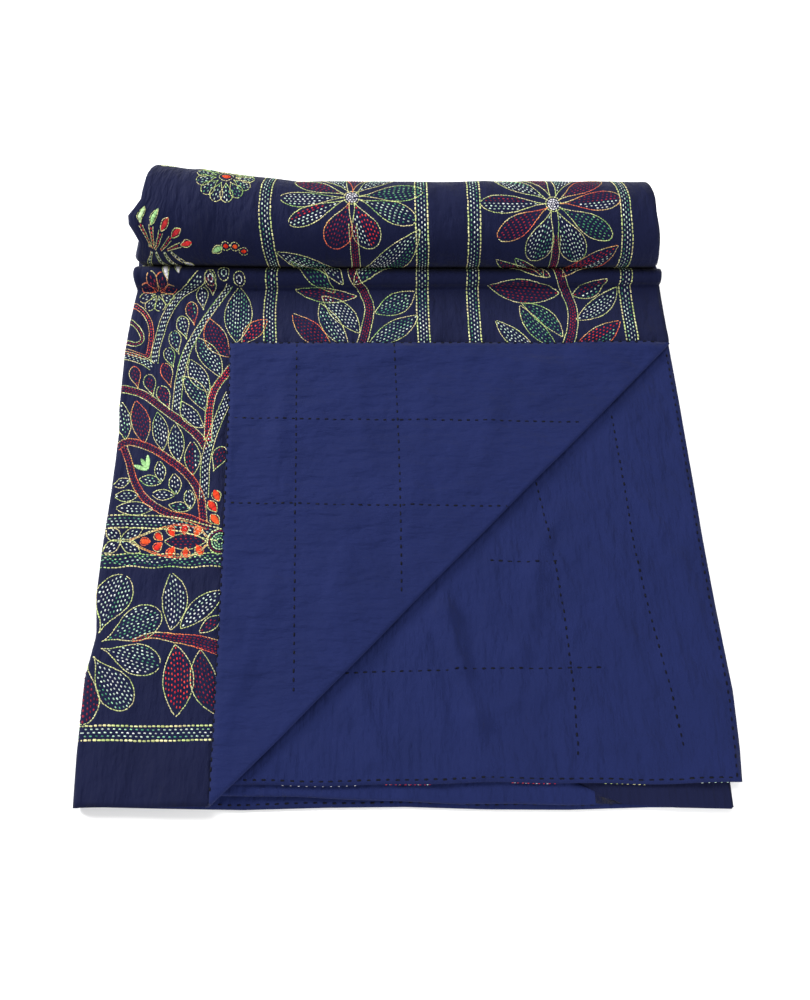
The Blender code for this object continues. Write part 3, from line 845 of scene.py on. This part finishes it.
# The central field at the left: a round blossom and a burst of stalks on the roll, then climbing stems with
# drops and leaves, and a great paisley, down to the border. The brightest buds are solid satin stitch.
field = []
rosette(field, (-179, 660), 11, 34, 7.2, [("mint", "meadow")] * 14)
ring(field, (-179, 660), 8, "cream")
satin(field, (-184, 660), (-174, 660), 4, "flame")
for base, tip, thread in (
    ((-267, 582), (-272, 617), "lime"), ((-264, 581), (-252, 616), "lime"),
    ((-260, 580), (-236, 609), "red"), ((-251, 580), (-222, 600), "red"), ((-241, 580), (-210, 588), "red"),
    ((-236, 578), (-218, 556), "silver"), ((-246, 578), (-230, 533), "silver"),
    ((-258, 578), (-244, 529), "silver"), ((-264, 578), (-277, 543), "silver"),
):
    base, tip = np.array(base, float), np.array(tip, float)
    neck = base + 0.62 * (tip - base)
    fill = "red" if thread in ("red", "lime") else "white"
    stem(field, (base, (base + neck) / 2, neck), (1.2, 2.4), fill, "cream")
    satin(field, neck, tip, 2.6, thread, "cream")
satin(field, (-188, 579), (-177, 585), 2.8, "lime", "cream")
for bud in ((-173, 586), (-163, 586), (-154, 581)):
    satin(field, (bud[0] - 2.6, bud[1]), (bud[0] + 2.6, bud[1]), 2.4, "flame")
    ring(field, bud, 4.6, "cream")
for bud in ((-268, 673), (-257, 675)):
    satin(field, (bud[0] - 5, bud[1] - 2), (bud[0] + 4, bud[1] + 3), 2.0, "silver", "cream")
looks = [("maroon", "sunset")] * 4 + [("white", "cream")] * 4
rosette(field, (-258, 513), 3, 22, 6.4, looks, first=0.35)
stem(field, ((-205, 531), (-231, 511), (-243, 486), (-246, 462), (-248, 430)), (5.5, 4.5), "white")
stem(field, ((-250, 427), (-262, 434), (-285, 441)), (4.5, 4.5), "white")
stem(field, ((-285, 500), (-268, 488), (-257, 468), (-256, 440), (-272, 442), (-288, 447)), (2.6, 2.6),
     "red", "sunset")
stem(field, ((-286, 482), (-272, 470), (-266, 458), (-274, 453), (-288, 457)), (2.2, 2.2), "maroon")
stem(field, ((-175, 524), (-199, 481), (-211, 446), (-218, 415), (-221, 378)), (3.2, 4.4), "white", "meadow")
for top, point, half_width, fill, edge in (
    ((-197, 535), (-194, 510), 6, "maroon", "cream"), ((-208, 521), (-202, 493), 6.5, "white", "cream"),
    ((-218, 503), (-209, 475), 6.5, ("green", "maroon"), "sunset"),
    ((-226, 486), (-214, 459), 6.5, "white", "cream"), ((-231, 469), (-219, 441), 6.5, "mint", "cream"),
    ((-233, 449), (-225, 426), 6.5, "mint", "meadow"), ((-236, 431), (-227, 403), 7, "maroon", "sunset"),
    ((-240, 405), (-228, 378), 7.5, "maroon", "cream"), ((-255, 418), (-247, 393), 7, "maroon", "cream"),
    ((-273, 427), (-265, 402), 6.5, "maroon", "sunset"), ((-171, 338), (-180, 311), 7.5, "maroon", "cream"),
):
    petal(field, point, top, half_width, fill, edge)
for base, tip, half_width, bend, fill, edge in (
    ((-161, 455), (-165, 521), 15, 0, "mint", "cream"),
    ((-167, 438), (-195, 484), 11, 3, "maroon", "sunset"),
    ((-155, 454), (-131, 482), 9, 2, "red", "sunset"), ((-176, 415), (-204, 461), 10, -2, "mint", "cream"),
    ((-187, 398), (-208, 436), 9, 2, "white", "cream"), ((-191, 377), (-216, 416), 9, -3, "mint", "meadow"),
    ((-192, 359), (-216, 388), 8, 3, "white", "cream"),
    ((-254, 342), (-267, 389), 10.5, 0, "maroon", "sunset"),
    ((-232, 334), (-242, 376), 9, 0, "white", "meadow"), ((-215, 322), (-221, 364), 8, 1, "white", "cream"),
    ((-200, 308), (-203, 345), 8, 0, ("mint", "maroon"), "cream"),
    ((-276, 346), (-283, 388), 8, 0, "mint", "cream"), ((-231, 301), (-236, 323), 6, 0, "white", "cream"),
    ((-231, 300), (-256, 304), 5.5, 0, "mint", "meadow"),
    ((-215, 288), (-219, 310), 6, 0, "white", "meadow"),
    ((-217, 287), (-241, 288), 5.5, 0, "white", "cream"),
    ((-200, 273), (-204, 294), 5.5, 0, "white", "cream"), ((-200, 273), (-222, 277), 5, 0, "mint", "cream"),
    ((-266, 303), (-283, 297), 5, 0, "white", "cream"), ((-255, 287), (-281, 286), 6, 0, "white", "cream"),
    ((-238, 273), (-278, 274), 7, 0, "white", "cream"),
):
    leaf(field, base, tip, half_width, fill, edge, bend)
for bud in ((-195, 530), (-180, 534), (-163, 529)):
    ring(field, bud, 6.2, "cream")
    ring(field, bud, 2.8, "white", width=1.2)
stem(field, ((-290, 403), (-278, 401), (-258, 395), (-233, 378), (-211, 362), (-196, 348), (-188, 336)),
     (4.0, 4.0))
stem(field, ((-160, 432), (-169, 421), (-182, 401), (-187, 378), (-187, 342)), (3.6, 3.8), "red")
stem(field, ((-166, 397), (-170, 387), (-178, 366), (-184, 346), (-188, 324), (-188, 303), (-188, 282)),
     (4.6, 4.4), "white")
stem(field, ((-284, 338), (-276, 343), (-263, 342), (-243, 335), (-224, 324), (-208, 311), (-197, 297),
             (-190, 280), (-187, 258)), (3.6, 3.6), "maroon", "sunset")
stem(field, ((-277, 338), (-269, 321), (-262, 303), (-250, 286), (-235, 275), (-218, 267), (-200, 263),
             (-180, 254)), (3.6, 3.6), "maroon", "sunset")
for base, tip in (((-247, 314), (-249, 329)), ((-248, 314), (-256, 325)), ((-248, 313), (-263, 318))):
    satin(field, base, tip, 2.4, "lime")
for base, tip in (((-173, 281), (-178, 292)), ((-175, 270), (-183, 281)), ((-172, 257), (-180, 267))):
    satin(field, base, tip, 3.4, "flame", "cream")
for turn_step in range(3):
    across_roll = -270 + 52 * turn_step
    petal(field, (across_roll, 722), (across_roll, 760), 12, ("mint", "white"), "cream")
    leaf(field, (across_roll + 4, 720), (across_roll + 26, 704), 7, "maroon", "sunset")
    leaf(field, (across_roll - 4, 720), (across_roll - 26, 704), 7, "maroon", "sunset")
sew("field_threads", shown_on_face(field), on_face)

# The border at the near hem: a row of ornament with a pointed petal in solid red stitches, a narrow wave of
# green, and below it a lying stem with white leaves above, maroon ones below, and half of a large flower.
border = []
for tip, half_width in (((-247, 253), 6), ((-247, 229), 6), ((-283, 253), 6), ((-283, 229), 6)):
    leaf(border, (-268, 241), tip, half_width, "white", "cream")
stem(border, ((-259, 241), (-235, 251), (-211, 257), (-193, 253), (-181, 243)), (0.6, 0.6), "flame", "sunset")
stem(border, ((-259, 240), (-240, 231), (-217, 225), (-195, 227), (-181, 238)), (0.6, 0.6), "flame", "sunset")
leaf(border, (-224, 240), (-183, 240), 8, "maroon", "cream")
for middle, inward in (
    ((-243, 240), (4, 0)), ((-230, 245), (3, -3)), ((-218, 250), (2, -4)), ((-205, 252), (0, -4)),
    ((-192, 250), (-2, -4)), ((-230, 235), (3, 3)), ((-217, 230), (2, 4)), ((-203, 229), (0, 4)),
    ((-190, 231), (-2, 4)),
):
    middle, inward = np.array(middle, float), np.array(inward, float)
    satin(border, middle - inward, middle + 1.3 * inward, 3.0, "flame", "sunset", widest=0.34)
for radius, thread in ((3, "lime"), (5.5, "green"), (8, "lime"), (10.5, "maroon"), (12.5, "cream")):
    ring(border, (-170, 240), radius, thread, width=1.4)
for row in range(4):
    line = np.array([(x, 218 + 2.8 * row + 1.2 * math.sin(x / 5 + row)) for x in np.arange(-168.0, -300, -2)])
    seed_line(border, line, ("green", "mint", "lime", "green")[row], start=2.5 * (row % 2))
for up in (227.5, 215.0):
    line = np.array([(x, up + 0.8 * math.sin(x / 6)) for x in np.arange(-168.0, -300, -2)])
    stitch_line(border, line, "meadow", length=3.2, gap=0.5, width=1.3)
for base, tip, half_width, bend, fill in (
    ((-282, 152), (-260, 207), 17, 0, ("mint", "white")), ((-278, 144), (-222, 171), 16, 0, "mint"),
    ((-277, 138), (-219, 122), 14, 0, ("white", "mint")), ((-282, 131), (-244, 84), 15, 0, ("mint", "white")),
    ((-285, 126), (-282, 70), 13, 0, "maroon"),
):
    petal(border, base, tip, half_width, fill, "cream", bend)
stem(border, ((-248, 145), (-228, 150), (-206, 147), (-187, 144), (-160, 136)), (1.2, 6.8),
     "maroon", "sunset")
for base, tip, half_width, bend, fill in (
    ((-212, 155), (-216, 210), 12, -4, "white"), ((-203, 156), (-163, 192), 10, 2, "white"),
    ((-185, 152), (-165, 168), 6, 0, "maroon"), ((-207, 141), (-202, 76), 14, 3, "red"),
    ((-183, 136), (-165, 78), 12, -4, "maroon"),
):
    leaf(border, base, tip, half_width, fill, "cream", bend)
sew("border_threads", shown_on_face(border), on_face)

# The two layers are held together by running stitches in dark thread, which show on the royal blue back as
# lines of small dashes: a hem line just inside every edge, and the lines of the quilting, over the corner
# and the bare ply.
HEM_INSIDE = 4.0


def dash_line(work, *points):
    stitch_line(work, curve(points), "night", length=4.3, gap=4.0, width=1.6)


def on_corner(points, lift):
    """Places on the back of the turned corner, from where they come to lie in the plan."""
    x, y = points.T / 1000
    inside = (WIDTH / 2 - x + y - CORNER) / math.sqrt(2)
    step = (2 * inside + math.pi * CORNER_RADIUS) / math.sqrt(2)
    return lay_down((0, x + step, 0.0), y - step, -SEAM - CLOTH - lift / 1000)


def on_ply(run):
    def place(points, lift):
        x, y = points.T / 1000
        return lay_down((run, x, 0.0), y, -SEAM - CLOTH - lift / 1000)
    return place


corner_dashes = []
left_edge, far_edge, right_edge = 1000 * (WIDTH / 2 - CORNER), 1000 * CORNER, 1000 * WIDTH / 2
left_line, far_line = left_edge + HEM_INSIDE, far_edge - HEM_INSIDE
dash_line(corner_dashes, (left_line, 12), (left_line, 230), (left_line, far_line))
dash_line(corner_dashes, (left_line, far_line), (60, far_line), (274, far_line))
for points in (
    ((-161, 368), (6, 366), (189, 364)), ((-161, 278), (4, 276), (109, 275)),
    ((-98, 452), (-97, 280), (-96, 92)), ((2, 452), (4, 310), (3, 190)),
):
    dash_line(corner_dashes, *points)
sew("corner_stitches", np.concatenate(corner_dashes), on_corner)

bare_dashes = []
for points in (
    ((right_edge - HEM_INSIDE, 440), (right_edge - HEM_INSIDE, 200), (right_edge - HEM_INSIDE, HEM_INSIDE)),
    ((-140, HEM_INSIDE), (60, HEM_INSIDE), (right_edge - HEM_INSIDE, HEM_INSIDE)),
    ((217, 368), (220, 293), (223, 203), (233, 101), (240, 30)),
    ((136, 293), (148, 200), (152, 101), (151, 22)), ((87, 210), (120, 209), (152, 210)),
    ((-59, 101), (60, 103), (180, 105)),
):
    dash_line(bare_dashes, *points)
rows = np.concatenate(bare_dashes)
shown = 1000 * CORNER - (right_edge - rows[:, 0]) - rows[:, 1] > 6
sew("bare_ply_stitches", rows[shown], on_ply(3))

bottom_dashes = []
dash_line(bottom_dashes, (-270, HEM_INSIDE), (0, HEM_INSIDE), (280, HEM_INSIDE))
sew("bottom_ply_stitches", np.concatenate(bottom_dashes), on_ply(1))

# A few of the coloured stitches of the face reach the near hem of the bare ply and show as bright specks.


def on_hem(points, lift):
    x, up = points.T / 1000
    spots = lay_down((3, x, 0.0), 0 * x, SEAM + CLOTH / 2 - up)
    return spots - np.stack([0 * x, lift / 1000, 0 * x], -1)


hem_specks = []
for start, stop, thread, gap in (
    (-106, -38, "silver", 5.0), (-16, 24, "red", 2.2), (-12, 22, "white", 6.0), (94, 134, "red", 2.4),
    (96, 132, "silver", 7.0), (172, 206, "cream", 2.6), (196, 204, "meadow", 2.0), (252, 280, "white", 3.4),
):
    stitch_line(hem_specks, ((start, 0), (stop, 0)), thread, length=2.0, gap=gap, width=1.0)
sew("hem_stitches", np.concatenate(hem_specks), on_hem)
